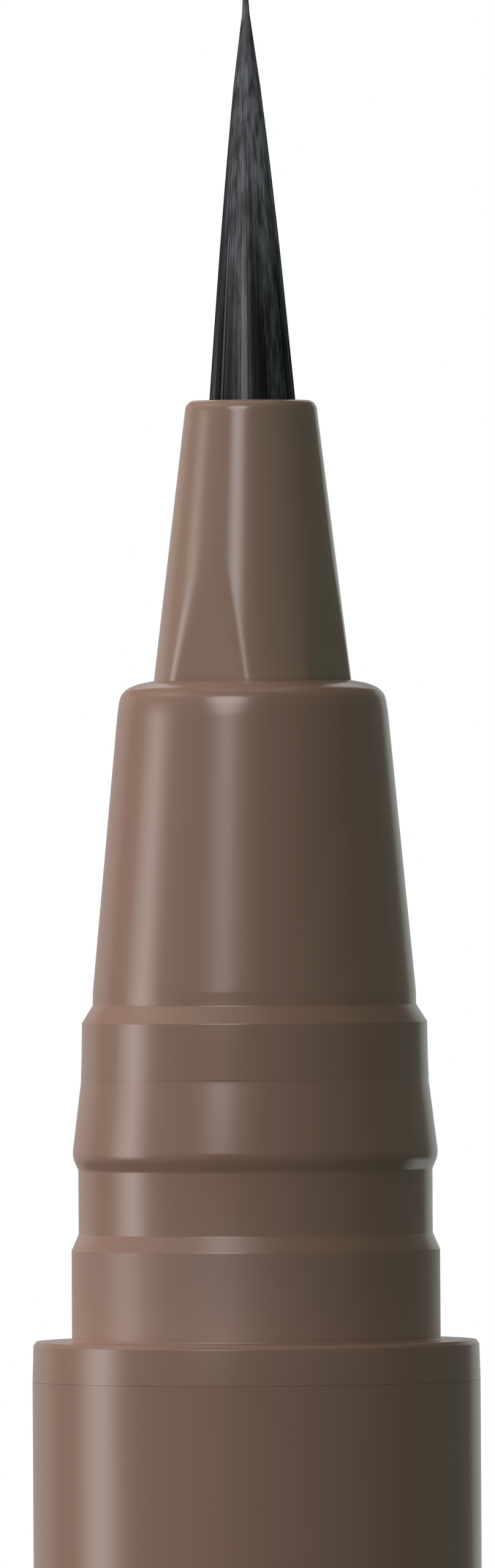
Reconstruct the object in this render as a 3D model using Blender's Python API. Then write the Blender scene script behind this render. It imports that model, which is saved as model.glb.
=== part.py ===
"""A liquid eyebrow pen with a tapered brush, standing upright on its posted cap.

Metres, +Z up. The origin is the centre of the cap's closed end, and Z is the axis of every turned piece.
The nose, from the flange up to the tip of the brush, is what a user sees when the pen is open. The cap is
pushed onto the post at the tail, which has the same snap profile as the nose.

Radii grow from the brush outwards, each piece taking the one inside it plus a named wall, step or clearance.
Heights on the nose are counted from the flange's top face, and the pieces of the nose are drawn in them.
"""

import math

import bmesh
import bpy
from mathutils import Matrix

# Fits: pieces that are pressed together, pieces that slide, and the bead that clicks past the cap's rib
SEAT_GAP = 0.00005
SLIDE_GAP = 0.00008
SNAP_GAP = 0.00002

# Brush
BRUSH_LENGTH = 0.00966
BRUSH_RADIUS = 0.00101
BRUSH_LEAN = 0.00011
ROOT_LIP = 0.00014
ROOT_THICKNESS = 0.0006

# Nozzle
NOZZLE_FACE_WIDTH = 0.00045
NOZZLE_FLARE = 0.00079
NOZZLE_HEIGHT = 0.00657
NOZZLE_CORNER = 0.00022
NOZZLE_FLAT_DEPTH = 0.00019
NOZZLE_STEM = 0.0035
NOZZLE_COLLAR_THICKNESS = 0.001
BRUSH_BORE_LENGTH = 0.00414

# Brush holder and relay core
HOLDER_WALL = 0.00025
HOLDER_RIM = 0.0003
HOLDER_COLLAR_THICKNESS = 0.0008
CORE_RADIUS = 0.00075
CORE_CHAMFER = 0.00015
CORE_TAIL = 0.001

# Nose of the front barrel, from the shoulder down
SHOULDER_WIDTH = 0.00073
SHOULDER_CORNER = 0.0004
CONE_HEIGHT = 0.00774
CONE_FLARE = 0.00072
BAND_STEP = 0.00022
BAND_STEP_HEIGHT = 0.00034
BAND_HEIGHT = 0.00128
BAND_FLARE = 0.00004
BEAD_HEIGHT = 0.00186
BEAD_RISE = 0.00019
UNDERCUT_HEIGHT = 0.00037
UNDERCUT_DEPTH = 0.00011
GROOVE_HEIGHT = 0.00163
SEAT_STEP = 0.00017
SEAT_STEP_HEIGHT = 0.00029
SEAT_HEIGHT = 0.00206
FLANGE_THICKNESS = 0.0011
SPIGOT_LENGTH = 0.008
SPIGOT_CHAMFER = 0.0003
CONE_WALL = 0.00056
NECK_WALL = 0.00075
NECK_ROOF = 0.0009

# Barrel
BARREL_LENGTH = 0.086
BARREL_WALL = 0.001
EDGE_BREAK = 0.00004

# Collector
FIN_THICKNESS = 0.00045
FIN_PITCH = 0.0013
HUB_WALL = 0.00055
COLLECTOR_PLUG_LENGTH = 0.003
FEED_TUBE_LENGTH = 0.008

# Rubber seal rings
SEAL_DEPTH = 0.00045
SEAL_WIDTH = 0.0011
SEAL_GAP = 0.00002

# Tail plug and mixing ball
TAIL_FLANGE_THICKNESS = 0.0008
TAIL_SPIGOT_LENGTH = 0.007
PLUG_WALL = 0.00095
PLUG_END_WALL = 0.0012
POST_NOSE = 0.0028
POST_CHAMFER = 0.0005
BALL_RADIUS = 0.002

# Cap, inner cap and spring
CAP_WALL = 0.00086
CAP_END_WALL = 0.0012
CAP_CORNER = 0.0006
CAP_LEAD_IN = 0.0002
SNAP_RIB_HEIGHT = 0.0009
INNER_CAP_WALL = 0.00066
INNER_CAP_END_WALL = 0.0008
INNER_CAP_TRAVEL = 0.0015
INNER_CAP_TIP_ROOM = 0.0006
INNER_CAP_SEALING_DROP = 0.00057
GUIDE_COLLAR_LENGTH = 0.0027
RETAINING_RIB_HEIGHT = 0.001
RETAINING_RIB_GAP = 0.00015
SPRING_LENGTH = 0.004
SPRING_RADIUS = 0.0026
SPRING_WIRE_RADIUS = 0.0002
SPRING_BOSS_HEIGHT = 0.0008

# Angles, shares and counts
FLAT_DRAFT = math.radians(2.4)
FLAT_AZIMUTH = math.radians(60)
FLAT_COUNT = 4
TAIL_LEDGE_SHARE = 0.45
SEAL_CHAMFER_SHARE = 0.3
BRISTLE_RINGS = 8
BRISTLE_GAP_SHARE = 0.07
BRISTLE_TIP_SHARE = 0.03
SHORTEST_BRISTLE_SHARE = 0.85
GOLDEN_SHARE = 0.618034
MERGE_SHARE = 0.01
SIDES = 32
COLLECTOR_SIDES = 16
CORE_SIDES = 12
CORNER_STEPS = 3
BALL_SUBDIVISIONS = 3
SPRING_TURNS = 4
SPRING_POINTS_PER_TURN = 10
SMOOTH_ANGLE = math.radians(30)

# Radii, from the brush outwards
brush_bore = BRUSH_RADIUS + SEAT_GAP
root_radius = BRUSH_RADIUS + ROOT_LIP
root_pocket = root_radius + SEAT_GAP
holder_radius = root_pocket + HOLDER_WALL
holder_bore = holder_radius + SEAT_GAP
core_bore = CORE_RADIUS + SEAT_GAP
hub_radius = core_bore + HUB_WALL
nozzle_face_radius = brush_bore + NOZZLE_FACE_WIDTH
nozzle_foot_radius = nozzle_face_radius + NOZZLE_FLARE
shoulder_hole = nozzle_foot_radius + SEAT_GAP
shoulder_radius = shoulder_hole + SHOULDER_WIDTH
cone_foot_radius = shoulder_radius + CONE_FLARE
band_radius = cone_foot_radius + BAND_STEP
bead_foot_radius = band_radius + BAND_FLARE
bead_radius = bead_foot_radius + BEAD_RISE
groove_radius = bead_radius - UNDERCUT_DEPTH
seat_radius = groove_radius + SEAT_STEP
cap_bore = seat_radius + SLIDE_GAP
barrel_radius = cap_bore + CAP_WALL
barrel_bore = barrel_radius - BARREL_WALL
spigot_radius = barrel_bore - SEAT_GAP
seal_groove_radius = spigot_radius - SEAL_DEPTH
neck_cavity = band_radius - NECK_WALL
fin_radius = neck_cavity - SEAT_GAP
tail_ledge_radius = barrel_bore + BARREL_WALL * TAIL_LEDGE_SHARE

# Heights on the nose, from the flange's top face
seat_top = SEAT_HEIGHT
groove_bottom = seat_top + SEAT_STEP_HEIGHT
groove_top = groove_bottom + GROOVE_HEIGHT
bead_top = groove_top + UNDERCUT_HEIGHT
bead_foot = bead_top + BEAD_HEIGHT
band_top = bead_foot + BAND_HEIGHT
cone_foot = band_top + BAND_STEP_HEIGHT
shoulder = cone_foot + CONE_HEIGHT
nozzle_face = shoulder + NOZZLE_HEIGHT
brush_tip = nozzle_face + BRUSH_LENGTH
collar_seat = shoulder - NOZZLE_STEM
nozzle_collar_top = collar_seat - SEAT_GAP
nozzle_foot = nozzle_collar_top - NOZZLE_COLLAR_THICKNESS
holder_collar_top = nozzle_foot - SEAT_GAP
holder_foot = holder_collar_top - HOLDER_COLLAR_THICKNESS
holder_seat = nozzle_face - BRUSH_BORE_LENGTH
holder_top = holder_seat - SEAT_GAP
root_top = holder_top - HOLDER_RIM
root_bottom = root_top - ROOT_THICKNESS
pocket_floor = root_bottom - SEAT_GAP
neck_cavity_top = band_top - NECK_ROOF
fins_top = neck_cavity_top - SEAT_GAP
flange_bottom = -FLANGE_THICKNESS
spigot_end = flange_bottom - SPIGOT_LENGTH
collector_plug_top = spigot_end - SEAT_GAP
collector_plug_bottom = collector_plug_top - COLLECTOR_PLUG_LENGTH
collector_seal_middle = (collector_plug_top + collector_plug_bottom) / 2
feed_tube_end = collector_plug_bottom - FEED_TUBE_LENGTH
core_end = feed_tube_end - CORE_TAIL


def cone_radius_at(height):
    """Outer radius of the front barrel's straight cone."""
    return cone_foot_radius - CONE_FLARE * (height - cone_foot) / CONE_HEIGHT


def nozzle_radius_at(height):
    """Outer radius of the nozzle's straight taper."""
    return nozzle_foot_radius - NOZZLE_FLARE * (height - shoulder) / NOZZLE_HEIGHT


# The collars under the shoulder, and the thimble that seals on it when the pen is closed
collar_cavity = cone_radius_at(collar_seat) - CONE_WALL
collar_radius = collar_cavity - SEAT_GAP
sealing_height = shoulder - INNER_CAP_SEALING_DROP
inner_cap_bore = cone_radius_at(sealing_height)
inner_cap_radius = inner_cap_bore + INNER_CAP_WALL
guide_collar_radius = cap_bore - SLIDE_GAP
retaining_rib_radius = inner_cap_radius + RETAINING_RIB_GAP
snap_rib_radius = bead_radius + SNAP_GAP

# Heights along the standing pen, from the cap's closed end
spring_bottom = CAP_END_WALL + SEAT_GAP
inner_cap_bottom = spring_bottom + SPRING_LENGTH + SEAT_GAP
inner_cap_depth = brush_tip + INNER_CAP_TIP_ROOM - sealing_height
inner_cap_length = inner_cap_depth + INNER_CAP_END_WALL
retaining_rib_bottom = inner_cap_bottom + GUIDE_COLLAR_LENGTH + SEAT_GAP
cap_length = inner_cap_bottom + inner_cap_length - INNER_CAP_TRAVEL + sealing_height
tail = cap_length + SEAT_GAP
snap_rib_middle = tail - (groove_bottom + groove_top) / 2
post_length = bead_foot + POST_NOSE
tail_seal_middle = (TAIL_FLANGE_THICKNESS + TAIL_SPIGOT_LENGTH) / 2
ball_rest = tail - post_length + PLUG_END_WALL + SEAT_GAP + BALL_RADIUS
flange_top = tail + BARREL_LENGTH + SEAT_GAP + FLANGE_THICKNESS


def clear_scene():
    for thing in list(bpy.data.objects):
        bpy.data.objects.remove(thing, do_unlink=True)


def finish(name, colour, roughness, metallic=0.0):
    """A plain material. Its colour is linear."""
    material = bpy.data.materials.new(name)
    material.use_nodes = True
    shader = material.node_tree.nodes["Principled BSDF"]
    shader.inputs["Base Color"].default_value = (*colour, 1)
    shader.inputs["Roughness"].default_value = roughness
    shader.inputs["Metallic"].default_value = metallic
    return material


def carrier(name, height):
    """An empty on the pen's axis, which carries the pieces that move together."""
    empty = bpy.data.objects.new(name, None)
    empty.location = (0, 0, height)
    bpy.context.scene.collection.objects.link(empty)
    return empty


def place(thing, material, parent, height):
    """Gives a sub-part its material and its height on the pen's axis."""
    thing.data.materials.append(material)
    thing.parent = parent
    thing.location = (0, 0, height - parent.location.z)
    bpy.context.scene.collection.objects.link(thing)
    return thing


def solid(name, shape):
    """An object from a closed bmesh, shaded smooth round the axis and sharp at its edges."""
    bmesh.ops.recalc_face_normals(shape, faces=shape.faces)
    mesh = bpy.data.meshes.new(name)
    shape.to_mesh(mesh)
    shape.free()
    mesh.shade_smooth()
    mesh.set_sharp_from_angle(angle=SMOOTH_ANGLE)
    return bpy.data.objects.new(name, mesh)


def turned(outline, sides=SIDES):
    """A closed body turned from (radius, height) points that run down its outer side and up its inner side."""
    shape = bmesh.new()
    points = [shape.verts.new((radius, 0, height)) for radius, height in outline]
    edges = []
    for first, second in zip(points, points[1:] + points[:1]):
        if first.co.x > 0 or second.co.x > 0:
            edges.append(shape.edges.new((first, second)))
    bmesh.ops.spin(
        shape,
        geom=points + edges,
        axis=(0, 0, 1),
        angle=math.tau,
        steps=sides,
        use_merge=True,
    )
    bmesh.ops.remove_doubles(shape, verts=shape.verts, dist=SEAT_GAP * MERGE_SHARE)
    return shape


def rounded_corner(radius, height, rounding):
    """Points of an outer corner from its upper to its outer tangent point. (radius, height) is the latter."""
    points = []
    for step in range(CORNER_STEPS + 1):
        angle = math.pi / 2 * (1 - step / CORNER_STEPS)
        inset = rounding * (1 - math.cos(angle))
        points.append((radius - inset, height + rounding * math.sin(angle)))
    return points


def snap_profile():
    """Seat ring, groove and bead that the cap snaps onto, as (radius, distance from the seat's end face)."""
    return [
        (seat_radius, 0),
        (seat_radius, seat_top),
        (groove_radius, groove_bottom),
        (groove_radius, groove_top),
        (bead_radius, bead_top),
        (bead_foot_radius, bead_foot),
    ]


def seal_groove(middle):
    """Groove for a seal ring in a plug, from its upper to its lower edge."""
    half = SEAL_WIDTH / 2 + SEAT_GAP
    return [
        (spigot_radius, middle + half),
        (seal_groove_radius, middle + half),
        (seal_groove_radius, middle - half),
        (spigot_radius, middle - half),
    ]


def make_seal(name, material, parent, height):
    """A rubber ring with broken edges that fills its groove out to the barrel's bore."""
    inside = seal_groove_radius + SEAT_GAP
    outside = barrel_bore - SEAL_GAP
    chamfer = (outside - inside) * SEAL_CHAMFER_SHARE
    half = SEAL_WIDTH / 2
    outline = [
        (outside - chamfer, half),
        (outside, half - chamfer),
        (outside, chamfer - half),
        (outside - chamfer, -half),
        (inside + chamfer, -half),
        (inside, chamfer - half),
        (inside, half - chamfer),
        (inside + chamfer, half),
    ]
    return place(solid(name, turned(outline)), material, parent, height)


def brush_cells(shape):
    """A disc split into rings of triangles, one for each bristle, level with the top of the fused root."""
    cell = BRUSH_RADIUS / BRISTLE_RINGS
    inner = [shape.verts.new((0, 0, root_top))]
    cells = []
    for ring in range(1, BRISTLE_RINGS + 1):
        outer = []
        for index in range(6 * ring):
            angle = math.tau * index / (6 * ring)
            reach = cell * ring
            outer.append(shape.verts.new((reach * math.cos(angle), reach * math.sin(angle), root_top)))
        for sector in range(6):
            for step in range(ring):
                near = inner[(sector * (ring - 1) + step) % len(inner)]
                far = outer[sector * ring + step]
                beside = outer[(sector * ring + step + 1) % len(outer)]
                cells.append(shape.faces.new((near, far, beside)))
                if step < ring - 1:
                    across = inner[(sector * (ring - 1) + step + 1) % len(inner)]
                    cells.append(shape.faces.new((near, beside, across)))
        inner = outer
    return cells


def extruded_rim(shape, edges):
    """Extrudes a ring of edges and gives the new points and edges."""
    made = bmesh.ops.extrude_edge_only(shape, edges=edges)["geom"]
    points = [part for part in made if isinstance(part, bmesh.types.BMVert)]
    return points, [part for part in made if isinstance(part, bmesh.types.BMEdge)]


def make_bristles(material, parent):
    """Three-sided bristles that rise from a fused root, straight up the bore and then in to a fine tip.

    Above the nozzle all bristles draw in towards the axis at one rate and lean alike, and each thins to nothing
    at a tip of its own, so none crosses another.
    """
    shape = bmesh.new()
    cells = brush_cells(shape)
    rim = [edge for edge in shape.edges if edge.is_boundary]
    lip_points, lip_edges = extruded_rim(shape, rim)
    widening = root_radius / BRUSH_RADIUS
    bmesh.ops.scale(shape, vec=(widening, widening, 1), verts=lip_points)
    foot_points, foot_edges = extruded_rim(shape, lip_edges)
    bmesh.ops.translate(shape, vec=(0, 0, -ROOT_THICKNESS), verts=foot_points)
    bmesh.ops.contextual_create(shape, geom=foot_edges)

    cell = BRUSH_RADIUS / BRISTLE_RINGS
    bmesh.ops.inset_individual(
        shape, faces=cells, thickness=cell * BRISTLE_GAP_SHARE, use_even_offset=True
    )
    stems = bmesh.ops.extrude_discrete_faces(shape, faces=cells)["faces"]
    stem_points = [point for face in stems for point in face.verts]
    bmesh.ops.translate(shape, vec=(0, 0, nozzle_face - root_top), verts=stem_points)
    blades = bmesh.ops.extrude_discrete_faces(shape, faces=stems)["faces"]
    for index, blade in enumerate(blades):
        reach = 1 - (1 - SHORTEST_BRISTLE_SHARE) * (index * GOLDEN_SHARE % 1)
        draw_in = 1 - (1 - BRISTLE_TIP_SHARE) * reach
        middle = blade.calc_center_median()
        tip = (
            middle.x * draw_in - BRUSH_LEAN * reach,
            middle.y * draw_in,
            nozzle_face + BRUSH_LENGTH * reach,
        )
        bmesh.ops.pointmerge(shape, verts=blade.verts, merge_co=tip)
    return place(solid("bristles", shape), material, parent, flange_top)


def make_brush_holder(material, parent):
    """Sleeve with a pocket for the fused root at its top, and a collar under the nozzle's foot."""
    outline = [
        (holder_radius, holder_top),
        (holder_radius, holder_collar_top),
        (collar_radius, holder_collar_top),
        (collar_radius, holder_foot),
        (core_bore, holder_foot),
        (core_bore, pocket_floor),
        (root_pocket, pocket_floor),
        (root_pocket, holder_top),
    ]
    return place(solid("brush_holder", turned(outline)), material, parent, flange_top)


def make_flat_cutter(parent):
    """Four drafted blocks for the nozzle's flats, which start above its collar and fade out up the taper."""
    bottom = nozzle_collar_top + NOZZLE_CORNER
    beyond = nozzle_foot_radius + nozzle_foot_radius
    shape = bmesh.new()
    for index in range(FLAT_COUNT):
        block = bmesh.ops.create_cube(shape, size=nozzle_foot_radius)["verts"]
        for point in block:
            height = nozzle_face if point.co.z > 0 else bottom
            plane = nozzle_foot_radius - NOZZLE_FLAT_DEPTH - (height - shoulder) * math.tan(FLAT_DRAFT)
            point.co.x = beyond if point.co.x > 0 else plane
            point.co.y = math.copysign(nozzle_foot_radius, point.co.y)
            point.co.z = height
        turn = Matrix.Rotation(FLAT_AZIMUTH + math.tau * index / FLAT_COUNT, 3, "Z")
        bmesh.ops.rotate(shape, cent=(0, 0, 0), matrix=turn, verts=block)
    cutter = solid("nozzle_flat_cutter", shape)
    cutter.hide_render = True
    cutter.display_type = "WIRE"
    return cutter


def make_nozzle(material, parent):
    """Tapered tip with a bore for the brush, four flats, and a hidden collar that seats under the shoulder."""
    corner_height = nozzle_face - NOZZLE_CORNER
    outline = [
        (brush_bore, nozzle_face),
        *rounded_corner(nozzle_radius_at(corner_height), corner_height, NOZZLE_CORNER),
        (nozzle_foot_radius, shoulder),
        (nozzle_foot_radius, nozzle_collar_top),
        (collar_radius, nozzle_collar_top),
        (collar_radius, nozzle_foot),
        (holder_bore, nozzle_foot),
        (holder_bore, holder_seat),
        (brush_bore, holder_seat),
    ]
    nozzle = place(solid("nozzle", turned(outline)), material, parent, flange_top)
    flats = nozzle.modifiers.new("Flats", "BOOLEAN")
    flats.operation = "DIFFERENCE"
    flats.object = place(make_flat_cutter(parent), material, parent, flange_top)
    return nozzle


def make_front_barrel(material, parent):
    """Shoulder, cone, stop band, snap bead, groove, seat ring and flange, with a spigot down into the barrel."""
    corner_height = shoulder - SHOULDER_CORNER
    outline = [
        (shoulder_hole, shoulder),
        *rounded_corner(cone_radius_at(corner_height), corner_height, SHOULDER_CORNER),
        (cone_foot_radius, cone_foot),
        (band_radius, band_top),
        *reversed(snap_profile()),
        (barrel_radius - EDGE_BREAK, 0),
        (barrel_radius, -EDGE_BREAK),
        (barrel_radius, flange_bottom),
        (spigot_radius, flange_bottom),
        (spigot_radius, spigot_end + SPIGOT_CHAMFER),
        (spigot_radius - SPIGOT_CHAMFER, spigot_end),
        (neck_cavity, spigot_end),
        (neck_cavity, neck_cavity_top),
        (collar_cavity, neck_cavity_top),
        (collar_cavity, collar_seat),
        (shoulder_hole, collar_seat),
    ]
    return place(solid("front_barrel", turned(outline)), material, parent, flange_top)


def make_relay_core(material, parent):
    """Fibre rod from the tank up to the root of the brush."""
    outline = [
        (0, pocket_floor),
        (CORE_RADIUS - CORE_CHAMFER, pocket_floor),
        (CORE_RADIUS, pocket_floor - CORE_CHAMFER),
        (CORE_RADIUS, core_end + CORE_CHAMFER),
        (CORE_RADIUS - CORE_CHAMFER, core_end),
        (0, core_end),
    ]
    return place(solid("relay_core", turned(outline, CORE_SIDES)), material, parent, flange_top)


def make_collector(material, parent):
    """Fins on a hub that reaches up to the brush holder, a plug that closes the tank, and a feed tube into it."""
    outline = [(core_bore, holder_foot - SEAT_GAP), (hub_radius, holder_foot - SEAT_GAP)]
    fin_count = int((fins_top - collector_plug_top) / FIN_PITCH)
    for index in range(fin_count):
        fin_top = fins_top - index * FIN_PITCH
        outline += [
            (hub_radius, fin_top),
            (fin_radius, fin_top),
            (fin_radius, fin_top - FIN_THICKNESS),
            (hub_radius, fin_top - FIN_THICKNESS),
        ]
    outline += [
        (hub_radius, collector_plug_top),
        (spigot_radius, collector_plug_top),
        *seal_groove(collector_seal_middle),
        (spigot_radius, collector_plug_bottom),
        (hub_radius, collector_plug_bottom),
        (hub_radius, feed_tube_end),
        (core_bore, feed_tube_end),
    ]
    return place(solid("collector", turned(outline, COLLECTOR_SIDES)), material, parent, flange_top)


def make_barrel(material, parent):
    """Tube that is the pen's grip and its tank, with a counterbore for the tail plug's flange."""
    counterbore = tail_ledge_radius + SEAT_GAP
    ledge = TAIL_FLANGE_THICKNESS + SEAT_GAP
    outline = [
        (barrel_bore, BARREL_LENGTH),
        (barrel_radius, BARREL_LENGTH),
        (barrel_radius, EDGE_BREAK),
        (barrel_radius - EDGE_BREAK, 0),
        (counterbore, 0),
        (counterbore, ledge),
        (barrel_bore, ledge),
    ]
    return place(solid("barrel", turned(outline)), material, parent, tail)


def make_tail_plug(material, parent):
    """Cup that closes the tank, with the post that the cap is pushed onto."""
    plug_bore = spigot_radius - PLUG_WALL
    outline = [
        (spigot_radius, TAIL_SPIGOT_LENGTH),
        *seal_groove(tail_seal_middle),
        (spigot_radius, TAIL_FLANGE_THICKNESS),
        (tail_ledge_radius, TAIL_FLANGE_THICKNESS),
        (tail_ledge_radius, 0),
        *[(radius, -distance) for radius, distance in snap_profile()],
        (bead_foot_radius, POST_CHAMFER - post_length),
        (bead_foot_radius - POST_CHAMFER, -post_length),
        (0, -post_length),
        (0, PLUG_END_WALL - post_length),
        (plug_bore, PLUG_END_WALL - post_length),
        (plug_bore, TAIL_SPIGOT_LENGTH),
    ]
    return place(solid("tail_plug", turned(outline)), material, parent, tail)


def make_mixing_ball(material, parent):
    shape = bmesh.new()
    bmesh.ops.create_icosphere(shape, subdivisions=BALL_SUBDIVISIONS, radius=BALL_RADIUS)
    return place(solid("mixing_ball", shape), material, parent, ball_rest)


def make_cap_shell(material, parent):
    """Closed tube with a rib that keeps the inner cap in, and one that clicks into the groove behind the bead."""
    retaining_rib_top = retaining_rib_bottom + RETAINING_RIB_HEIGHT
    rib_half = SNAP_RIB_HEIGHT / 2
    outer_corner = rounded_corner(barrel_radius, -CAP_CORNER, CAP_CORNER)
    outline = [
        (barrel_radius - EDGE_BREAK, cap_length),
        (barrel_radius, cap_length - EDGE_BREAK),
        *[(radius, -height) for radius, height in reversed(outer_corner)],
        (0, 0),
        (0, CAP_END_WALL),
        (cap_bore, CAP_END_WALL),
        (cap_bore, retaining_rib_bottom),
        (retaining_rib_radius, retaining_rib_bottom),
        (retaining_rib_radius, retaining_rib_top - RETAINING_RIB_GAP),
        (cap_bore, retaining_rib_top),
        (cap_bore, snap_rib_middle - rib_half),
        (snap_rib_radius, snap_rib_middle - rib_half / 2),
        (snap_rib_radius, snap_rib_middle + rib_half / 2),
        (cap_bore, snap_rib_middle + rib_half),
        (cap_bore, cap_length - CAP_LEAD_IN),
        (cap_bore + CAP_LEAD_IN, cap_length),
    ]
    return place(solid("cap_shell", turned(outline)), material, parent, 0)


def make_inner_cap(material, parent):
    """Thimble that seals on the nose, with a guide collar that slides in the cap and a boss inside the spring."""
    boss_radius = SPRING_RADIUS - SPRING_WIRE_RADIUS - SLIDE_GAP
    outline = [
        (inner_cap_radius, inner_cap_length),
        (inner_cap_radius, GUIDE_COLLAR_LENGTH),
        (guide_collar_radius, GUIDE_COLLAR_LENGTH),
        (guide_collar_radius, 0),
        (boss_radius, 0),
        (boss_radius, -SPRING_BOSS_HEIGHT),
        (0, -SPRING_BOSS_HEIGHT),
        (0, INNER_CAP_END_WALL),
        (inner_cap_bore, INNER_CAP_END_WALL),
        (inner_cap_bore, inner_cap_length),
    ]
    return place(solid("inner_cap", turned(outline)), material, parent, inner_cap_bottom)


def make_spring(material, parent):
    """Compression spring of round wire between the cap's end and the inner cap."""
    climb = SPRING_LENGTH - SPRING_WIRE_RADIUS - SPRING_WIRE_RADIUS
    steps = SPRING_TURNS * SPRING_POINTS_PER_TURN
    wire = bpy.data.curves.new("inner_cap_spring", "CURVE")
    wire.dimensions = "3D"
    wire.bevel_depth = SPRING_WIRE_RADIUS
    wire.bevel_resolution = 1
    wire.use_fill_caps = True
    spline = wire.splines.new("POLY")
    spline.points.add(steps)
    for step, point in enumerate(spline.points):
        angle = math.tau * step / SPRING_POINTS_PER_TURN
        height = SPRING_WIRE_RADIUS + climb * step / steps
        point.co = (SPRING_RADIUS * math.cos(angle), SPRING_RADIUS * math.sin(angle), height, 1)
    print("least gap between spring turns, m:", climb / SPRING_TURNS - SPRING_WIRE_RADIUS - SPRING_WIRE_RADIUS)
    return place(bpy.data.objects.new("inner_cap_spring", wire), material, parent, spring_bottom)


clear_scene()

cap = carrier("cap", 0)
pen = carrier("pen", tail)
thimble = carrier("thimble", inner_cap_bottom)
tank = carrier("tank", ball_rest)

brown_plastic = finish("brown ABS, gloss moulded", (0.150, 0.104, 0.077), 0.28)
nozzle_plastic = finish("brown POM nozzle", (0.145, 0.106, 0.080), 0.33)
black_filament = finish("black nylon filament", (0.012, 0.012, 0.014), 0.4)
natural_plastic = finish("natural polypropylene", (0.70, 0.69, 0.65), 0.45)
fibre = finish("bonded polyester fibre", (0.62, 0.60, 0.56), 0.9)
black_rubber = finish("black nitrile rubber", (0.015, 0.015, 0.015), 0.6)
steel = finish("stainless steel", (0.56, 0.55, 0.53), 0.25, metallic=1.0)

make_bristles(black_filament, pen)
make_brush_holder(natural_plastic, pen)
make_nozzle(nozzle_plastic, pen)
make_front_barrel(brown_plastic, pen)
make_relay_core(fibre, pen)
make_collector(natural_plastic, pen)
make_seal("collector_seal", black_rubber, pen, flange_top + collector_seal_middle)
make_barrel(brown_plastic, pen)
make_tail_plug(brown_plastic, pen)
make_seal("tail_seal", black_rubber, pen, tail + tail_seal_middle)
make_mixing_ball(steel, tank)
make_cap_shell(brown_plastic, cap)
make_inner_cap(natural_plastic, thimble)
make_spring(steel, cap)
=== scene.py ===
"""Liquid eyebrow pen, open and standing on its posted cap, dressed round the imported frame.

The pen's sizes are given in millimetres and made metres with MM, and those of the table, the
lights and the camera in metres. Heights on the nose count from the flange's top face.
"""

import math
import random

import bmesh
import bpy
from mathutils import Matrix, Vector, noise


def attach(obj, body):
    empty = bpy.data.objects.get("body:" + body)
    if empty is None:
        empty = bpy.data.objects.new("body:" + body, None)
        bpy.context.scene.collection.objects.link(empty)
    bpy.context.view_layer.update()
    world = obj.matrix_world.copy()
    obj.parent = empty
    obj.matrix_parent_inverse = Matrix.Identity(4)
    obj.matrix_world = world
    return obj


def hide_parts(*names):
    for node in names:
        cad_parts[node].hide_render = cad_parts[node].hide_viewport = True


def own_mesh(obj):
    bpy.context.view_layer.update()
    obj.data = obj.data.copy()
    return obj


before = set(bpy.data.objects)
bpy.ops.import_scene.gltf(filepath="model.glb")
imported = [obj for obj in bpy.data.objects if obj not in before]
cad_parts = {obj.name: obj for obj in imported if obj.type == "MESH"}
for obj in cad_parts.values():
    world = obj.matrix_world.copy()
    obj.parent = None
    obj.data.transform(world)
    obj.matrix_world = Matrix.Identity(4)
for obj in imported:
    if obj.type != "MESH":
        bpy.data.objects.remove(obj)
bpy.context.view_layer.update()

MM = 0.001

# Brush: nine hundred black nylon filaments, ground to long fine tapers and fused into a disc at
# the root. The fused disc sits in the brush holder, and the wet filaments draw together into one
# point that leans to the left.

FLANGE_TOP = 124.20
BRUSH_ROOT = 17.65
BRUSH_START = 22.14
BRUSH_END = 31.80
BRUSH_RADIUS = 1.01
BRUSH_BELLY = 0.85
BRUSH_OFFSET = 0.028
BRUSH_LEAN = 0.104
CORE_SHARE = 0.42
ROOT_DISC_RADIUS = 1.15
ROOT_DISC_DEPTH = 0.60
FILAMENTS = 900
FILAMENT_SIDES = 5
FILAMENT_LEVELS = 10
GOLDEN_ANGLE = math.pi * (3 - math.sqrt(5))
THICKNESSES = (1.1, 1.4)
CORE_REACHES = (0.985, 1.0)
OUTER_REACHES = (0.84, 0.96)
OWN_TONES = (-0.08, 0.08)
FINE_WELD = 0.0001


def linear(hex_colour):
    """Turns an sRGB hex value into the linear colour that a shader takes."""
    channels = [int(hex_colour[place : place + 2], 16) / 255 for place in (1, 3, 5)]
    return (*[c / 12.92 if c <= 0.04045 else ((c + 0.055) / 1.055) ** 2.4 for c in channels], 1.0)


def add_node(owner, kind, settings=None, links=None):
    """Adds a node, with its settings and the sockets that feed it, to a material or the world."""
    made = owner.node_tree.nodes.new(kind)
    for name, value in (settings or {}).items():
        if isinstance(name, int) or name in made.inputs:
            made.inputs[name].default_value = value
        else:
            setattr(made, name, value)
    for name, source in (links or {}).items():
        owner.node_tree.links.new(source, made.inputs[name])
    return made


def new_finish(name, **settings):
    """Starts a material: its shader with the values that are the same all over it."""
    material = bpy.data.materials.new(name)
    material.use_nodes = True
    shader = material.node_tree.nodes["Principled BSDF"]
    for socket, value in settings.items():
        shader.inputs[socket.replace("_", " ")].default_value = value
    return material, shader


SHARP_EDGE = math.radians(40)


def finished(name, shape, material, body, slot, *nodes):
    """Makes a piece of a closed shape: faces outward, smooth, finished, and placed in the frame."""
    bmesh.ops.recalc_face_normals(shape, faces=shape.faces)
    mesh = bpy.data.meshes.new(name)
    shape.to_mesh(mesh)
    shape.free()
    mesh.shade_smooth()
    mesh.set_sharp_from_angle(angle=SHARP_EDGE)
    mesh.materials.append(material)
    piece = bpy.data.objects.new(name, mesh)
    bpy.context.scene.collection.objects.link(piece)
    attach(piece, body)
    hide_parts(*nodes)
    return piece


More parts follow.
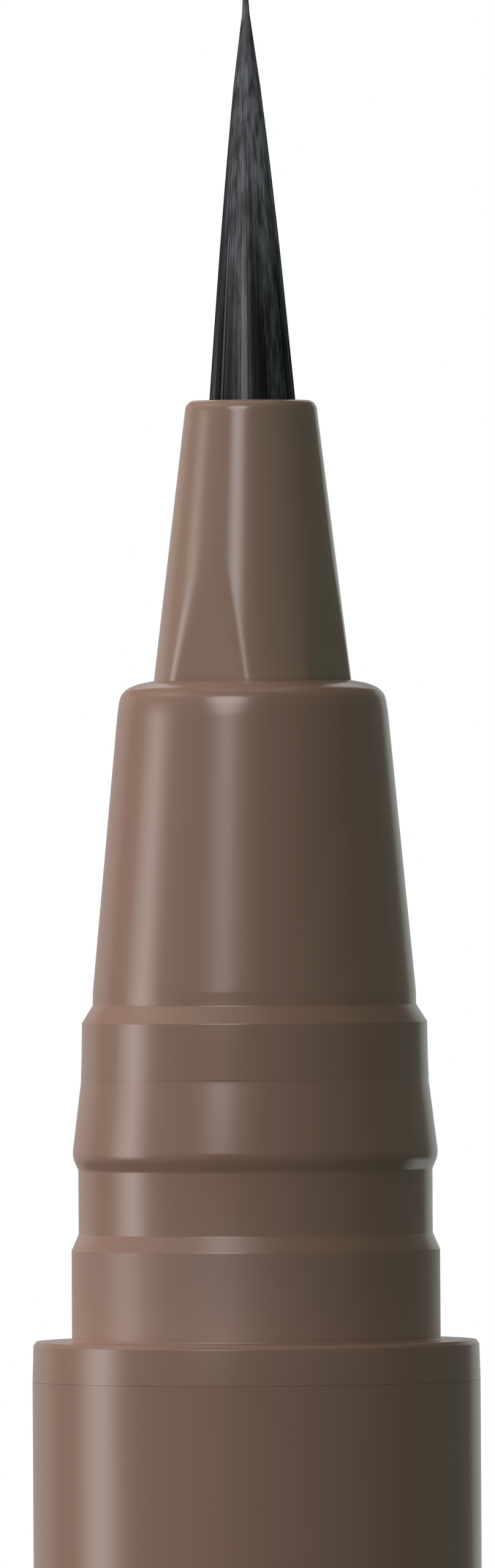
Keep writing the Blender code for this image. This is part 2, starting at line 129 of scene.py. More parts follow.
# Nylon dyed black in the melt: dark at the root, where a film of liquid lies over the whole
# bundle and shines as one surface, and paler towards the tip, partly where the locks have dried
# in patches about 0.12 mm wide and 0.8 mm long and partly as painted sheen. The strand shade it
# reads also holds painted light on the bundle's right side and painted shade on its left.
PATCH_WIDTH, PATCH_LENGTH = 0.12, 0.8
black_filament, shader = new_finish(
    "dyed_black_nylon_filament",
    Roughness=0.45,
    IOR=1.5,
    Specular_IOR_Level=0.28,
    Coat_Roughness=0.08,
    Coat_IOR=1.4,
)
strand_shade = add_node(black_filament, "ShaderNodeAttribute", {"attribute_name": "strand_shade"})
along_strands = add_node(
    black_filament,
    "ShaderNodeMapping",
    {"Scale": (1 / (PATCH_WIDTH * MM), 1 / (PATCH_WIDTH * MM), 1 / (PATCH_LENGTH * MM))},
    {"Vector": add_node(black_filament, "ShaderNodeTexCoord").outputs["Object"]},
)
dried_patches = add_node(
    black_filament,
    "ShaderNodeTexNoise",
    {"Scale": 1.0, "Detail": 2.0},
    {"Vector": along_strands.outputs[0]},
)
patch_strength = add_node(
    black_filament,
    "ShaderNodeMapRange",
    {"From Min": 0.35, "From Max": 0.65, "To Min": 0.3, "To Max": 1.3},
    {"Value": dried_patches.outputs[0]},
)
patched_shade = add_node(
    black_filament,
    "ShaderNodeMath",
    {"operation": "MULTIPLY"},
    {0: strand_shade.outputs["Fac"], 1: patch_strength.outputs[0]},
)
tint = add_node(
    black_filament,
    "ShaderNodeMix",
    {"data_type": "RGBA", 6: linear("#0C0B11"), 7: linear("#898991")},
    {0: patched_shade.outputs[0]},
)
outwards = add_node(
    black_filament,
    "ShaderNodeCombineXYZ",
    {"Z": 0.1},
    {
        axis: add_node(
            black_filament, "ShaderNodeAttribute", {"attribute_name": f"seat_{axis.lower()}"}
        ).outputs["Fac"]
        for axis in ("X", "Y")
    },
)
film = add_node(
    black_filament,
    "ShaderNodeVectorTransform",
    {"vector_type": "NORMAL", "convert_from": "OBJECT", "convert_to": "WORLD"},
    {"Vector": outwards.outputs[0]},
)
filament_side = add_node(black_filament, "ShaderNodeNewGeometry")
blended = add_node(
    black_filament,
    "ShaderNodeMix",
    {"data_type": "VECTOR", 0: 0.75},
    {4: filament_side.outputs["Normal"], 5: film.outputs[0]},
)
facing = add_node(
    black_filament, "ShaderNodeVectorMath", {"operation": "NORMALIZE"}, {0: blended.outputs[1]}
)
black_filament.node_tree.links.new(tint.outputs[2], shader.inputs["Base Color"])
black_filament.node_tree.links.new(facing.outputs[0], shader.inputs["Normal"])
wetness = add_node(black_filament, "ShaderNodeAttribute", {"attribute_name": "wetness"})
black_filament.node_tree.links.new(wetness.outputs["Fac"], shader.inputs["Coat Weight"])
black_filament.node_tree.links.new(film.outputs[0], shader.inputs["Coat Normal"])

dice = random.Random(7)
brush = bmesh.new()
seat_x = brush.verts.layers.float.new("seat_x")
seat_y = brush.verts.layers.float.new("seat_y")
reach_share = brush.verts.layers.float.new("reach_share")
shade = brush.verts.layers.float.new("strand_shade")
wet = brush.verts.layers.float.new("wetness")
packed_radius = BRUSH_RADIUS / math.sqrt(FILAMENTS)
for filament in range(FILAMENTS):
    share = math.sqrt((filament + 0.5) / FILAMENTS)
    angle = filament * GOLDEN_ANGLE
    seat = Vector((math.cos(angle), math.sin(angle), 0)) * share * (BRUSH_RADIUS - packed_radius)
    turn = Matrix.Rotation(dice.uniform(0, math.tau), 4, "Z")
    thickness = packed_radius * dice.uniform(*THICKNESSES)
    ring = bmesh.ops.create_circle(
        brush,
        cap_ends=True,
        segments=FILAMENT_SIDES,
        radius=thickness,
        matrix=Matrix.Translation(seat) @ turn,
    )["verts"]
    reach = dice.uniform(*CORE_REACHES) if share < CORE_SHARE else dice.uniform(*OUTER_REACHES)
    tone = dice.uniform(*OWN_TONES)
    for point in ring:
        point[seat_x], point[seat_y] = seat.x, seat.y
        point[reach_share] = reach
        point[shade] = tone
bmesh.ops.translate(brush, vec=(0, 0, BRUSH_ROOT), verts=brush.verts)
tops = brush.faces[:]
steps = [BRUSH_START - BRUSH_ROOT] + [(BRUSH_END - BRUSH_START) / FILAMENT_LEVELS] * FILAMENT_LEVELS
for step in steps:
    tops = bmesh.ops.extrude_discrete_faces(brush, faces=tops)["faces"]
    risen = [point for face in tops for point in face.verts]
    bmesh.ops.translate(brush, vec=(0, 0, step), verts=risen)
bmesh.ops.holes_fill(brush, edges=[edge for edge in brush.edges if edge.is_boundary], sides=0)

# Each filament keeps its place in the bundle while the bundle draws in, and thins to nothing at
# its own height. Wet filaments cling together in locks: a slow noise over the bundle pulls them
# into ridges and sets their shade. The outer ones bend in at their ends. Towards the tip the shade
# is paler, partly for dried nylon and partly as painted sheen, and across the bundle it carries
# painted light on the right side and painted shade on the left. Heights are shares of the brush's
# length, and shades go from 0 for the darkest to 1 for the palest.
FUSED_BELOW = -0.1
LOCKS_AROUND = 1.9
LOCKS_ALONG = 1.6
LOCK_PULL = 0.09
LOCKS_END = 1.1
CORE_SPREAD, OUTER_SPREAD = 0.13, 0.035
CORE_TAPER, OUTER_TAPER = 0.3, 0.5
LEAST_WIDTH = 0.30
BENT_FROM = 0.85
BENT_IN = 0.3
DRIES_FROM, DRIES_OVER = 0.15, 0.45
# Paler towards the tip: partly dried nylon, partly painted sheen
ROOT_SHADE, DRIED_AND_SHEEN_SHADE, TIP_DRY_AND_SHEEN_SHADE = 0.05, 0.40, 0.75
# Painted light on the right side of the bundle and painted shade on its left
PAINTED_SIDE_LIGHT, DRIED_PAINTED_SIDE_LIGHT = 0.18, 0.27
LOCK_SHADE, DRIED_LOCK_SHADE = 0.25, 0.35
FILM = 0.60
FILM_SHARE, LOCK_FILM_SHARE = 0.45, 2.5

for point in brush.verts:
    height = min((point.co.z - BRUSH_START) / (BRUSH_END - BRUSH_START), 1)
    if height < FUSED_BELOW:
        point[shade] = 0.0
        continue
    own = max(height, 0) * point[reach_share]
    seat = Vector((point[seat_x], point[seat_y]))
    aside = Vector((point.co.x, point.co.y)) - seat
    side = seat.normalized() * LOCKS_AROUND
    lock = noise.noise(Vector((side.x, side.y, own * LOCKS_ALONG)))
    in_core = seat.length < CORE_SHARE * BRUSH_RADIUS
    narrowing = (1 - own) ** BRUSH_BELLY + (CORE_SPREAD if in_core else OUTER_SPREAD) * own
    if not in_core:
        narrowing *= 1 - BENT_IN * max(0, (height - BENT_FROM) / (1 - BENT_FROM))
    drift = LOCK_PULL * lock * own * (LOCKS_END - own)
    taper = CORE_TAPER if in_core else OUTER_TAPER
    thinning = (1 - max(height, 0)) ** taper * min(1, LEAST_WIDTH + narrowing)
    placed = seat * narrowing * (1 + drift) + aside * thinning
    point.co.x = placed.x + BRUSH_OFFSET - BRUSH_LEAN * own
    point.co.y = placed.y
    point.co.z = BRUSH_START + own * (BRUSH_END - BRUSH_START)
    dried = min(1, max(0, (own - DRIES_FROM) / DRIES_OVER))
    # Paler towards the tip, partly for dried nylon and partly as painted sheen
    paler = ROOT_SHADE + DRIED_AND_SHEEN_SHADE * dried + TIP_DRY_AND_SHEEN_SHADE * own * own
    # Painted light on the right of the bundle, painted shade on its left
    paler += (PAINTED_SIDE_LIGHT + DRIED_PAINTED_SIDE_LIGHT * dried) * seat.x / BRUSH_RADIUS
    locked = (LOCK_SHADE + DRIED_LOCK_SHADE * dried) * lock
    point[shade] = min(1, max(0, point[shade] + paler + locked))
    point[wet] = FILM * (1 - dried) * min(1, max(0, FILM_SHARE + LOCK_FILM_SHARE * lock))

# The fused root disc
bmesh.ops.create_cone(
    brush,
    cap_ends=True,
    segments=64,
    radius1=ROOT_DISC_RADIUS,
    radius2=ROOT_DISC_RADIUS,
    depth=ROOT_DISC_DEPTH,
    matrix=Matrix.Translation((0, 0, BRUSH_ROOT - ROOT_DISC_DEPTH / 2)),
)
bmesh.ops.translate(brush, vec=(0, 0, FLANGE_TOP), verts=brush.verts)
bmesh.ops.scale(brush, vec=(MM, MM, MM), verts=brush.verts)
bmesh.ops.remove_doubles(brush, verts=brush.verts, dist=FINE_WELD * MM)
finished("brush", brush, black_filament, "pen", "bristles", "bristles")

# Nozzle: the slim tip that holds the brush, moulded in brown acetal. It is turned in shape, with
# a soft corner at its face, and four drafted flats near its foot, where the key that presses it
# home takes hold of it.

NOZZLE_FACE_RADIUS = 1.52
NOZZLE_FOOT_RADIUS = 2.315
NOZZLE_FACE = 22.14
SHOULDER = 15.57
NOZZLE_BORE = 1.06
NOZZLE_CORNER = 0.22
FLAT_PLANE = 2.10
FLAT_DRAFT = math.tan(math.radians(1.6))
FLAT_AZIMUTHS = [math.radians(60 + 90 * quarter) for quarter in range(4)]
FLAT_EDGE = 0.09
FLAT_BOTTOM = 12.2
WELD = 0.0005
BORE_MARGIN = 1.4


def turned(outline, rounds=6, sides=160, step=None):
    """Spins an outline of (radius, height, rounding) corners, in millimetres, into a closed shape.

    Each corner is rounded by its own radius. With a step, the runs outside the bore are cut into
    pieces of about that length.
    """
    shape = bmesh.new()
    corners = [shape.verts.new((radius, 0, height)) for radius, height, _ in outline]
    for first, second in zip(corners, corners[1:] + corners[:1]):
        if first.co.x > 0 or second.co.x > 0:
            shape.edges.new((first, second))
    for corner, (_, _, rounding) in zip(corners, outline):
        if rounding and len(corner.link_edges) == 2:
            ways = [edge.other_vert(corner).co - corner.co for edge in corner.link_edges]
            bend = math.pi - ways[0].angle(ways[1])
            bmesh.ops.bevel(
                shape,
                geom=[corner],
                offset=rounding * math.tan(bend / 2),
                offset_type="OFFSET",
                segments=rounds,
                profile=0.5,
                affect="VERTICES",
                material=-1,
            )
    outer = min(radius for radius, _, _ in outline) * BORE_MARGIN
    for edge in shape.edges[:]:
        length = edge.calc_length()
        if step and length > step and all(end.co.x > outer for end in edge.verts):
            bmesh.ops.subdivide_edges(shape, edges=[edge], cuts=int(length / step))
    bmesh.ops.spin(
        shape,
        geom=shape.verts[:] + shape.edges[:],
        axis=(0, 0, 1),
        angle=math.tau,
        steps=sides,
        use_merge=True,
    )
    bmesh.ops.remove_doubles(shape, verts=shape.verts, dist=WELD)
    return shape


def set_on_pen(shape, foot):
    """Lifts a shape drawn in millimetres to its height on the pen and makes it metres."""
    bmesh.ops.translate(shape, vec=(0, 0, foot), verts=shape.verts)
    bmesh.ops.scale(shape, vec=(MM, MM, MM), verts=shape.verts)
    return shape


def steady_shading(piece):
    """Lets the long faces set the shading beside small rounded edges, as on a true turned part."""
    weighted = piece.modifiers.new("steady shading", "WEIGHTED_NORMAL")
    weighted.mode = "FACE_AREA"
    weighted.keep_sharp = True
    return piece


FLOW_WIDTH, HAZE_WIDTH, PEEL_WIDTH = 9, 5, 1.2


def moulded(name, pigment, darker, roughness, haze, ior, peel, matt_band=None):
    """An injection-moulded plastic: flow marks in its pigment, orange peel and an uneven gloss.

    The peel is its depth in millimetres. A matt band is given as its lowest and highest point above
    the table, in millimetres, and its added roughness.
    """
    material, shader = new_finish(name, IOR=ior)
    place = add_node(material, "ShaderNodeTexCoord").outputs["Object"]
    flow = add_node(
        material,
        "ShaderNodeTexNoise",
        {"Scale": 1 / (FLOW_WIDTH * MM), "Detail": 1.0},
        {"Vector": place},
    )
    pigments = add_node(
        material,
        "ShaderNodeMix",
        {"data_type": "RGBA", 6: linear(pigment), 7: linear(darker)},
        {0: flow.outputs[0]},
    )
    hazy = add_node(
        material,
        "ShaderNodeTexNoise",
        {"Scale": 1 / (HAZE_WIDTH * MM), "Detail": 1.0},
        {"Vector": place},
    )
    gloss = add_node(
        material,
        "ShaderNodeMapRange",
        {"From Min": 0.2, "From Max": 0.8, "To Min": roughness, "To Max": roughness + haze},
        {"Value": hazy.outputs[0]},
    )
    skin = add_node(
        material,
        "ShaderNodeTexNoise",
        {"Scale": 1 / (PEEL_WIDTH * MM), "Detail": 0.0},
        {"Vector": place},
    )
    relief = add_node(
        material,
        "ShaderNodeBump",
        {"Strength": 1.0, "Distance": peel * MM},
        {"Height": skin.outputs[0]},
    )
    if matt_band:
        low, high, added = matt_band
        height = add_node(material, "ShaderNodeSeparateXYZ", links={0: place}).outputs["Z"]
        in_band = add_node(
            material,
            "ShaderNodeMath",
            {"operation": "COMPARE", 1: (low + high) / 2 * MM, 2: (high - low) / 2 * MM},
            {0: height},
        )
        gloss = add_node(
            material,
            "ShaderNodeMath",
            {"operation": "MULTIPLY_ADD", 1: added},
            {0: in_band.outputs[0], 2: gloss.outputs[0]},
        )
    links = material.node_tree.links
    links.new(pigments.outputs[2], shader.inputs["Base Color"])
    links.new(gloss.outputs[0], shader.inputs["Roughness"])
    links.new(relief.outputs[0], shader.inputs["Normal"])
    return material


nozzle_acetal = moulded("moulded_brown_acetal", "#987C6C", "#957A6A", 0.17, 0.03, 1.48, 0.0005)

nozzle_shape = turned(
    [
        (NOZZLE_BORE, NOZZLE_FACE, 0.05),
        (NOZZLE_FACE_RADIUS, NOZZLE_FACE, NOZZLE_CORNER),
        (NOZZLE_FOOT_RADIUS, SHOULDER, 0),
        (NOZZLE_FOOT_RADIUS, 12.02, 0),
        (3.03, 12.02, 0.08),
        (3.03, 11.02, 0.08),
        (1.45, 11.02, 0),
        (1.45, 18.00, 0),
        (NOZZLE_BORE, 18.00, 0),
    ],
    sides=224,
    step=0.075,
)
for azimuth in FLAT_AZIMUTHS:
    outward = Vector((math.cos(azimuth), math.sin(azimuth), 0))
    for point in nozzle_shape.verts:
        away = point.co.dot(outward)
        plane = FLAT_PLANE - FLAT_DRAFT * (point.co.z - SHOULDER)
        if point.co.z < FLAT_BOTTOM or away < plane - FLAT_EDGE:
            continue
        overlap = max(FLAT_EDGE - abs(away - plane), 0) / FLAT_EDGE
        kept = min(away, plane) - overlap * overlap * FLAT_EDGE / 4
        point.co += outward * (kept - away)
nozzle = finished(
    "nozzle_tip",
    set_on_pen(nozzle_shape, FLANGE_TOP),
    nozzle_acetal,
    "pen",
    "nozzle_plastic",
    "nozzle",
)
steady_shading(nozzle)

# Front barrel: the stepped nose in one gloss ABS moulding. From the top it has the shoulder that
# the inner cap seals on, the long cone, the stop band, the bead that the cap clicks over, its
# groove, the seat ring, and the flange.

BODY_RADIUS = 5.25
SEAT_FOOT = 0.11
SEAT_TOP = 2.24
BAND_INSET = 0.01
BAND_ROUGHNESS = 0.13

# The nose, the barrel and the cap are gloss ABS. The seat ring is left finely matt, so that the
# cap pulls off it.
TAUPE_ABS = ("#957566", "#927363", 0.235, 0.03, 1.54, 0.0005)
gloss_abs = moulded("moulded_taupe_abs", *TAUPE_ABS)
nose_abs = moulded(
    "moulded_taupe_abs_matt_seat",
    *TAUPE_ABS,
    matt_band=(
        FLANGE_TOP + SEAT_FOOT + BAND_INSET,
        FLANGE_TOP + SEAT_TOP - BAND_INSET,
        BAND_ROUGHNESS,
    ),
)

front_shape = turned(
    [
        (2.35, 15.568, 0),
        (2.70, 15.50, 0.80),
        (2.95, 15.39, 0.40),
        (3.075, 15.26, 0.32),
        (3.125, 15.13, 1.30),
        (3.173, 14.80, 3.00),
        (3.785, 8.30, 0.80),
        (3.79, 7.98, 0.05),
        (4.045, 7.57, 0.05),
        (4.057, 6.78, 2.00),
        (4.0755, 6.28, 0.10),
        (4.0715, 6.23, 0.08),
        (4.080, 6.14, 0.30),
        (4.29, 4.44, 0.50),
        (4.15, 4.12, 0.15),
        (4.15, 2.62, 0.06),
        (4.317, SEAT_TOP, 0.05),
        (4.32, SEAT_FOOT, 0.06),
        (5.155, SEAT_FOOT, 0.02),
        (5.225, 0.02, 0.03),
        (BODY_RADIUS, -0.825, 0),
        (4.20, -0.825, 0),
        (4.20, -8.80, 0.05),
        (3.90, -9.10, 0.05),
        (3.27, -9.10, 0.05),
        (3.27, 6.59, 0),
        (3.08, 6.59, 0),
        (3.08, 12.07, 0),
        (2.35, 12.07, 0),
    ]
)
front = finished(
    "front_moulding",
    set_on_pen(front_shape, FLANGE_TOP),
    nose_abs,
    "pen",
    "front_plastic",
    "front_barrel",
)
steady_shading(front)

# Barrel: a plain gloss ABS tube, the pen's grip and its tank. It meets the flange in a fine joint
# line.

TAIL = 37.05
BARREL_LENGTH = 86.32

barrel_shape = turned(
    [
        (4.25, BARREL_LENGTH, 0.03),
        (BODY_RADIUS, BARREL_LENGTH, 0),
        (BODY_RADIUS, 0.0, 0.05),
        (4.75, 0.0, 0.03),
        (4.75, 0.85, 0),
        (4.25, 0.85, 0),
    ]
)
barrel = finished(
    "barrel_tube", set_on_pen(barrel_shape, TAIL), gloss_abs, "pen", "barrel_plastic", "barrel"
)
steady_shading(barrel)

# Inside the pen: the brush holder and the finned collector are natural polypropylene, the relay
# core is a rod of bonded polyester fibre that wicks the pigment up, and two nitrile rings seal
# the tank. A steel ball stirs it.

natural_polypropylene = moulded(
    "moulded_natural_polypropylene", "#DCDAD3", "#D3D1C8", 0.42, 0.08, 1.49, 0.001
)


def patterned(name, light, dark, across, along, depth, **settings):
    """A finish whose colour and relief follow one pattern, so many millimetres wide and long."""
    material, shader = new_finish(name, **settings)
    place = add_node(material, "ShaderNodeTexCoord").outputs["Object"]
    spread = add_node(
        material,
        "ShaderNodeMapping",
        {"Scale": (1 / (across * MM), 1 / (across * MM), 1 / (along * MM))},
        {"Vector": place},
    )
    grain = add_node(
        material, "ShaderNodeTexNoise", {"Scale": 1.0, "Detail": 3.0}, {"Vector": spread.outputs[0]}
    )
    colours = add_node(
        material,
        "ShaderNodeMix",
        {"data_type": "RGBA", 6: linear(light), 7: linear(dark)},
        {0: grain.outputs[0]},
    )
    relief = add_node(
        material, "ShaderNodeBump", {"Distance": depth * MM}, {"Height": grain.outputs[0]}
    )
    material.node_tree.links.new(colours.outputs[2], shader.inputs["Base Color"])
    material.node_tree.links.new(relief.outputs[0], shader.inputs["Normal"])
    return material


# Fibres run along the rod, about 0.03 mm thick, drawn three times coarser so that they show.
bonded_polyester = patterned(
    "bonded_polyester_fibre", "#D9D6CF", "#A8A297", 0.09, 2.0, 0.02, Roughness=0.85, IOR=1.58
)
# Pressed rubber is matt black with a fine dusty grain.
nitrile_rubber = patterned(
    "pressed_nitrile_rubber", "#242424", "#1A1A1B", 0.15, 0.15, 0.004, Roughness=0.6, IOR=1.52
)
# A tumbled bearing ball: bright, with the faintest haze.
tumbled_steel = patterned(
    "tumbled_stainless_steel", "#C9C8C6", "#BDBCBA", 0.4, 0.4, 0.0002, Metallic=1.0, Roughness=0.12
)

inner_finishes = {
    "brush_holder": (natural_polypropylene, "natural_plastic"),
    "collector": (natural_polypropylene, "natural_plastic"),
    "relay_core": (bonded_polyester, "fibre"),
    "collector_seal": (nitrile_rubber, "seal_rubber"),
    "tail_seal": (nitrile_rubber, "seal_rubber"),
    "mixing_ball": (tumbled_steel, "ball_steel"),
}
for node, (material, slot) in inner_finishes.items():
    inner_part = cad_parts[node]
    inner_part.data.materials.clear()
    inner_part.data.materials.append(material)

# Tail plug: closes the tank at the rear and carries the post that the cap is pushed onto. It is
# the same brown ABS as the nose, with a seat ring, groove and bead like the nose's, upside down.

tail_shape = turned(
    [
        (4.20, 7.00, 0.15),
        (4.20, 4.50, 0.04),
        (3.75, 4.50, 0),
        (3.75, 3.30, 0),
        (4.20, 3.30, 0.04),
        (4.20, 0.80, 0),
        (4.70, 0.80, 0.03),
        (4.70, 0.0, 0.03),
        (4.31, 0.0, 0.06),
        (4.31, -2.06, 0.12),
        (4.14, -2.35, 0.12),
        (4.14, -3.98, 0.10),
        (4.25, -4.35, 0.05),
        (4.06, -6.21, 0.10),
        (4.06, -8.51, 0.15),
        (3.56, -9.01, 0.15),
        (0.0, -9.01, 0),
        (0.0, -7.81, 0),
        (3.25, -7.81, 0.30),
        (3.25, 7.00, 0.05),
    ]
)
tail_plug = finished(
    "tail_moulding", set_on_pen(tail_shape, TAIL), gloss_abs, "pen", "front_plastic", "tail_plug"
)
steady_shading(tail_plug)

# Cap: a closed ABS tube with a rounded end. Inside are the rib that keeps the inner cap in and
# the rib that clicks into the groove behind the bead.

cap_shape = turned(
    [
        (4.59, 37.00, 0.02),
        (BODY_RADIUS, 37.00, 0.05),
        (BODY_RADIUS, 0.0, 0.60),
        (0.0, 0.0, 0),
        (0.0, 1.20, 0),
        (4.39, 1.20, 0.20),
        (4.39, 8.05, 0.04),
        (3.94, 8.05, 0.04),
        (3.94, 8.90, 0.04),
        (4.39, 9.05, 0.04),
        (4.39, 33.435, 0.10),
        (4.27, 33.66, 0.10),
        (4.27, 34.11, 0.10),
        (4.39, 34.335, 0.10),
        (4.39, 36.80, 0.10),
    ],
    rounds=8,
)
cap = finished(
    "cap_moulding", set_on_pen(cap_shape, 0), gloss_abs, "cap", "barrel_plastic", "cap_shell"
)
steady_shading(cap)

# Inner cap: a thimble of natural polypropylene that seals on the shoulder and keeps the brush
# moist. Its collar slides in the cap, against a steel spring round its boss.

INNER_CAP_FOOT = 5.30

inner_cap_shape = turned(
    [
        (3.793, 18.20, 0.12),
        (3.793, 2.70, 0.10),
        (4.31, 2.70, 0.10),
        (4.31, 0.0, 0.10),
        (2.32, 0.0, 0.05),
        (2.32, -0.80, 0.12),
        (0.0, -0.80, 0),
        (0.0, 0.80, 0),
        (3.133, 0.80, 0.50),
        (3.133, 18.20, 0.20),
    ]
)
inner_cap = finished(
    "inner_cap_thimble",
    set_on_pen(inner_cap_shape, INNER_CAP_FOOT),
    natural_polypropylene,
    "inner_cap",
    "natural_plastic",
    "inner_cap",
)
steady_shading(inner_cap)

# Inner cap's spring: four turns of drawn stainless wire, 0.4 mm thick, with its end turns closed.
# It stands on the cap's end inside, round the inner cap's boss. In the real pen it is pressed
# shorter as the inner cap goes down.

SPRING_FOOT = 1.25
SPRING_RADIUS = 2.60
SPRING_LENGTH = 4.00
WIRE_RADIUS = 0.20
WIRE_SIDES = 12
STEPS_PER_TURN = 40
END_TURNS = 0.75
END_RISE = 0.30
WORKING_TURNS = 2.5

# Drawn wire keeps fine lines from the die along its length.
drawn_steel = patterned(
    "drawn_stainless_wire", "#BDBBB8", "#A3A19E", 0.05, 0.05, 0.0006, Metallic=1.0, Roughness=0.28
)

spring_shape = bmesh.new()
bmesh.ops.create_circle(
    spring_shape,
    cap_ends=True,
    segments=WIRE_SIDES,
    radius=WIRE_RADIUS,
    matrix=Matrix.Translation((SPRING_RADIUS, 0, WIRE_RADIUS))
    @ Matrix.Rotation(math.pi / 2, 4, "X"),
)
wire_end = spring_shape.faces[:]
working_rise = SPRING_LENGTH - 2 * WIRE_RADIUS - 2 * END_RISE
for turns, rise in ((END_TURNS, END_RISE), (WORKING_TURNS, working_rise), (END_TURNS, END_RISE)):
    steps = round(turns * STEPS_PER_TURN)
    wound = bmesh.ops.spin(
        spring_shape,
        geom=wire_end,
        axis=(0, 0, 1),
        angle=math.tau * turns,
        steps=steps,
        dvec=(0, 0, rise / steps),
    )
    wire_end = [part for part in wound["geom_last"] if isinstance(part, bmesh.types.BMFace)]
# The faces left across the wire where one run meets the next
crossing = [
    face for face in spring_shape.faces if all(len(edge.link_faces) > 2 for edge in face.edges)
]
bmesh.ops.delete(spring_shape, geom=crossing, context="FACES_ONLY")
spring = finished(
    "inner_cap_coil",
    set_on_pen(spring_shape, SPRING_FOOT),
    drawn_steel,
    "cap",
    "spring_steel",
    "inner_cap_spring",
)
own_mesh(spring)

# Floor and light: a pale table that fades into the white studio, and soft boxes round the pen.

TABLE_RADIUS = 3.0
FADE_FROM, FADE_TO = 0.05, 0.30
FADE_AT_PEN = 0.55

floor_shape = bmesh.new()
bmesh.ops.create_circle(floor_shape, cap_ends=True, segments=96, radius=TABLE_RADIUS)
floor_mesh = bpy.data.meshes.new("table_top")
floor_shape.to_mesh(floor_mesh)
floor_shape.free()
floor = bpy.data.objects.new("table_top", floor_mesh)
bpy.context.scene.collection.objects.link(floor)
table_laminate, shader = new_finish(
    "matt_white_laminate", Base_Color=linear("#E9E7E3"), Roughness=0.6
)
from_pen = add_node(
    table_laminate,
    "ShaderNodeVectorMath",
    {"operation": "LENGTH"},
    {0: add_node(table_laminate, "ShaderNodeTexCoord").outputs["Object"]},
)
fade = add_node(
    table_laminate,
    "ShaderNodeMapRange",
    {
        "From Min": FADE_FROM,
        "From Max": FADE_TO,
        "To Min": FADE_AT_PEN,
        "interpolation_type": "SMOOTHSTEP",
    },
    {"Value": from_pen.outputs["Value"]},
)
studio_white = add_node(table_laminate, "ShaderNodeEmission")
faded = add_node(
    table_laminate,
    "ShaderNodeMixShader",
    links={0: fade.outputs[0], 1: shader.outputs[0], 2: studio_white.outputs[0]},
)
table_laminate.node_tree.links.new(
    faded.outputs[0], table_laminate.node_tree.nodes["Material Output"].inputs["Surface"]
)
floor_mesh.materials.append(table_laminate)
floor.visible_glossy = False
floor.visible_diffuse = False

world = bpy.data.worlds.new("white studio")
bpy.context.scene.world = world
world.use_nodes = True
seen = world.node_tree.nodes["Background"]
seen.inputs["Color"].default_value = (1, 1, 1, 1)
dim = add_node(world, "ShaderNodeBackground", {"Color": linear("#E8F0E0"), "Strength": 0.05})
ray = add_node(world, "ShaderNodeLightPath")
either = add_node(
    world,
    "ShaderNodeMixShader",
    links={0: ray.outputs["Is Camera Ray"], 1: dim.outputs[0], 2: seen.outputs[0]},
)
world.node_tree.links.new(
    either.outputs[0], world.node_tree.nodes["World Output"].inputs["Surface"]
)

AIM = Vector((0, 0, 0.137))


def soft_box(
    name, azimuth, rise, distance, width, height, brightness, tint="#FFFFFF", shape="RECTANGLE"
):
    """An area light that faces the nose, seen from it at an azimuth and a rise in degrees.

    Azimuth 0 is the camera's side, and minus is its left. Brightness is the radiance of its face.
    """
    lamp = bpy.data.lights.new(name, "AREA")
    lamp.shape = shape
    lamp.size, lamp.size_y = width, height
    face = width * height * (math.pi / 4 if shape == "ELLIPSE" else 1)
    lamp.energy = brightness * math.pi * face
    lamp.color = linear(tint)[:3]
    box = bpy.data.objects.new(name, lamp)
    turn, lift = math.radians(azimuth), math.radians(rise)
    away = Vector(
        (math.sin(turn) * math.cos(lift), -math.cos(turn) * math.cos(lift), math.sin(lift))
    )
    box.location = AIM + away * distance
    box.rotation_mode = "QUATERNION"
    box.rotation_quaternion = away.to_track_quat("Z", "Y")
    box.visible_camera = False
    bpy.context.scene.collection.objects.link(box)
    return box


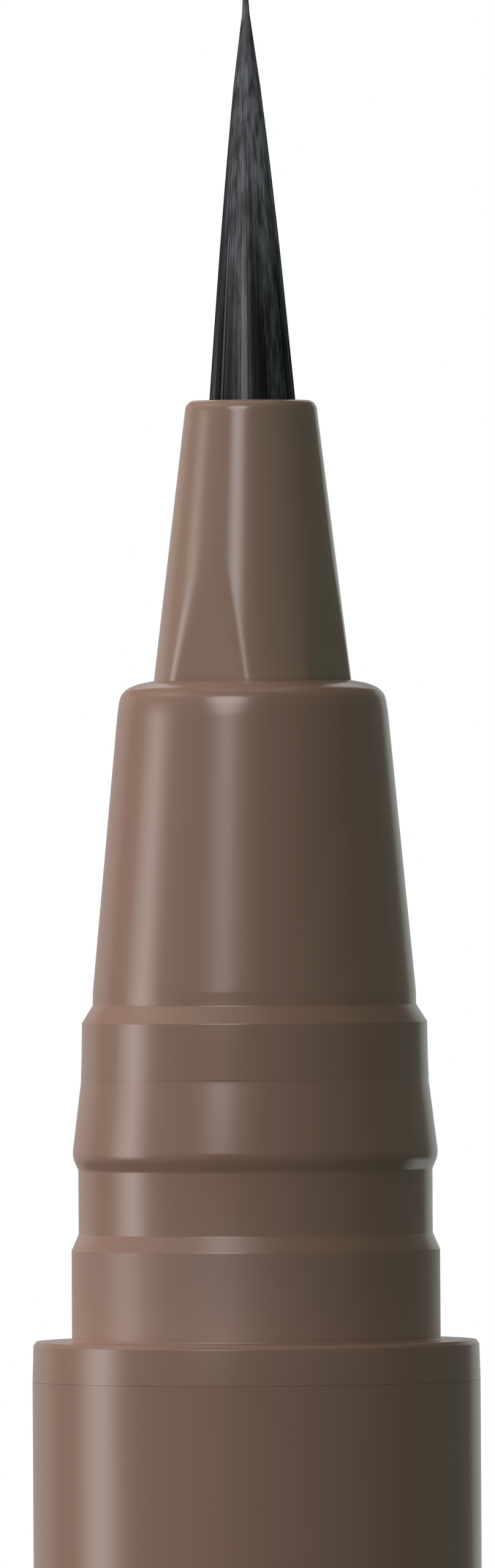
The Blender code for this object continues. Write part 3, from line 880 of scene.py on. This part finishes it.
# What the gloss mirrors: a strip on the left with a bright core, an oval and a slim box over the
# camera's left shoulder, high boxes in front, on the left and behind, dim grey screens behind,
# overhead and to the right, and a low card above the table.
for box_row in (
    ("strip core left", -87, -1, 0.35, 0.06, 0.155, 2.0),
    ("strip box left", -88, -1, 0.35, 0.16, 0.155, 2.1),
    ("oval box front", -23, 26.5, 0.45, 0.24, 0.21, 5.8, "#FFFFFF", "ELLIPSE"),
    ("slim box front", -23, 11, 0.45, 0.11, 0.06, 2.0),
    ("high box front", -26, 50, 0.50, 0.40, 0.16, 0.75),
    ("grey screen behind", -160, 2, 0.50, 0.62, 0.30, 0.42),
    ("grey screen right", 158, 2, 0.50, 0.21, 0.30, 0.60, "#F4FFFA"),
    ("dim wall right", 116, 2, 0.50, 0.40, 0.30, 0.10, "#C8FFF0"),
    ("low card right", 135, -20, 0.30, 0.12, 0.06, 0.9, "#F8FFFF"),
    ("high screen behind", 180, 32, 0.50, 0.30, 0.20, 1.0),
    ("screen overhead", 180, 80, 0.50, 0.30, 0.34, 0.5),
    ("high box left", -90, 42, 0.50, 0.30, 0.20, 0.56),
):
    box = soft_box(*box_row)
    box.visible_diffuse = False

# What lights the plastic itself: broad and soft, strong from the left, weak from the right, and
# fuller from behind.
WASH_DISTANCE, WASH_SIZE = 0.50, 0.30
for name, azimuth, rise, brightness, tint in (
    ("wash far left", -120, 35, 5.8, "#FFFFFF"),
    ("wash left", -95, 5, 2.1, "#FFFFFF"),
    ("wash high left", -70, 35, 1.9, "#FFFFFF"),
    ("wash front left", -45, 5, 1.6, "#FFFFFF"),
    ("wash high front", -20, 35, 1.15, "#FFFFFF"),
    ("wash overhead", 0, 86, 1.0, "#FFFFFF"),
    ("wash front", 10, 5, 0.85, "#FFFFFF"),
    ("wash right", 45, 5, 0.6, "#B6FFD8"),
    ("wash behind right", 152, 12, 3.2, "#FFFFFF"),
    ("wash behind left", -165, 12, 1.6, "#FFFFFF"),
):
    box = soft_box(name, azimuth, rise, WASH_DISTANCE, WASH_SIZE, WASH_SIZE, brightness, tint)
    box.visible_glossy = False

# Camera: a long lens half a metre away at the height of the nose, looking at it level and turned
# by a third of a degree, so that the pen leans as in the photograph.

LENS = 500
REACH = 0.5104
PEN_TILT = math.radians(0.33)
target = Vector((-0.1325 * MM, 0, (FLANGE_TOP + 13.15) * MM))

lens = bpy.data.cameras.new("camera")
lens.lens = LENS
lens.clip_start, lens.clip_end = 0.01, 20
camera = bpy.data.objects.new("camera", lens)
camera.location = target - Vector((0, REACH, 0))
look = (target - camera.location).to_track_quat("-Z", "Y").to_matrix().to_4x4()
camera.rotation_euler = (look @ Matrix.Rotation(-PEN_TILT, 4, "Z")).to_euler()
bpy.context.scene.collection.objects.link(camera)
bpy.context.scene.camera = camera
bpy.context.scene.view_settings.view_transform = "Standard"
